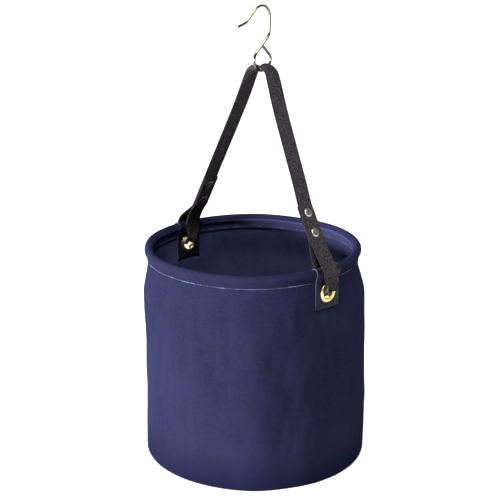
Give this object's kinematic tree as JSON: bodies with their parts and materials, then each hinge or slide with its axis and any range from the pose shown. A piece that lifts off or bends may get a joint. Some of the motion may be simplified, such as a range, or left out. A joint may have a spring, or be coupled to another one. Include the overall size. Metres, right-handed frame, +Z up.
{
  "type": "canvas tool bucket",
  "caption": "Round canvas tool bucket with a stiff base and a hooped rim, hung from one riveted webbing strap with a bent wire hook.",
  "frame": {"origin": "centre of the base's underside, on the bucket's axis", "axes": "+Z up the bucket's axis, X through the two eyelets, the hook opens towards -Y"},
  "size_m": [0.3146, 0.308, 0.6298],
  "materials": {
    "canvas": "plain-weave cotton canvas, matt, navy blue",
    "board": "plain stiffening board",
    "hoop_plastic": "extruded tube",
    "vinyl": "black coated reinforcing sheet, soft sheen",
    "eyelet_brass": "pressed and polished",
    "webbing": "woven black webbing",
    "rivet_nickel": "nickel plated",
    "zinc_wire": "bright zinc plating with a pale yellow cast"
  },
  "bodies": {
    "bucket": {"canvas_wall": "canvas", "base_cloth": "canvas", "base_board": "board", "base_lining": "canvas", "rim_hoop": "hoop_plastic", "hoop_joiner": "hoop_plastic", "patch_left": "vinyl", "patch_right": "vinyl", "eyelet_left": "eyelet_brass", "eyelet_right": "eyelet_brass", "eyelet_washer_left": "eyelet_brass", "eyelet_washer_right": "eyelet_brass", "strap_loop_left": "webbing", "strap_loop_right": "webbing"},
    "handle": {"handle_strap": "webbing", "strap_end_left": "webbing", "strap_end_right": "webbing", "rivet_heads_left": "rivet_nickel", "rivet_heads_right": "rivet_nickel", "rivet_backs_left": "rivet_nickel", "rivet_backs_right": "rivet_nickel"},
    "hook": {"hook": "zinc_wire"}
  },
  "joints": [
    {"name": "handle_swing", "type": "hinge", "parent": "bucket", "child": "handle", "pos_m": [0, 0, 0.32], "axis": [1, 0, 0], "range_deg": [-88, 90]},
    {"name": "hook_swing", "type": "hinge", "parent": "handle", "child": "hook", "pos_m": [0.01055, 0.00659, 0.5419], "axis": [0, 0.9996, -0.0297], "range_deg": [-80, 80]}
  ]
}
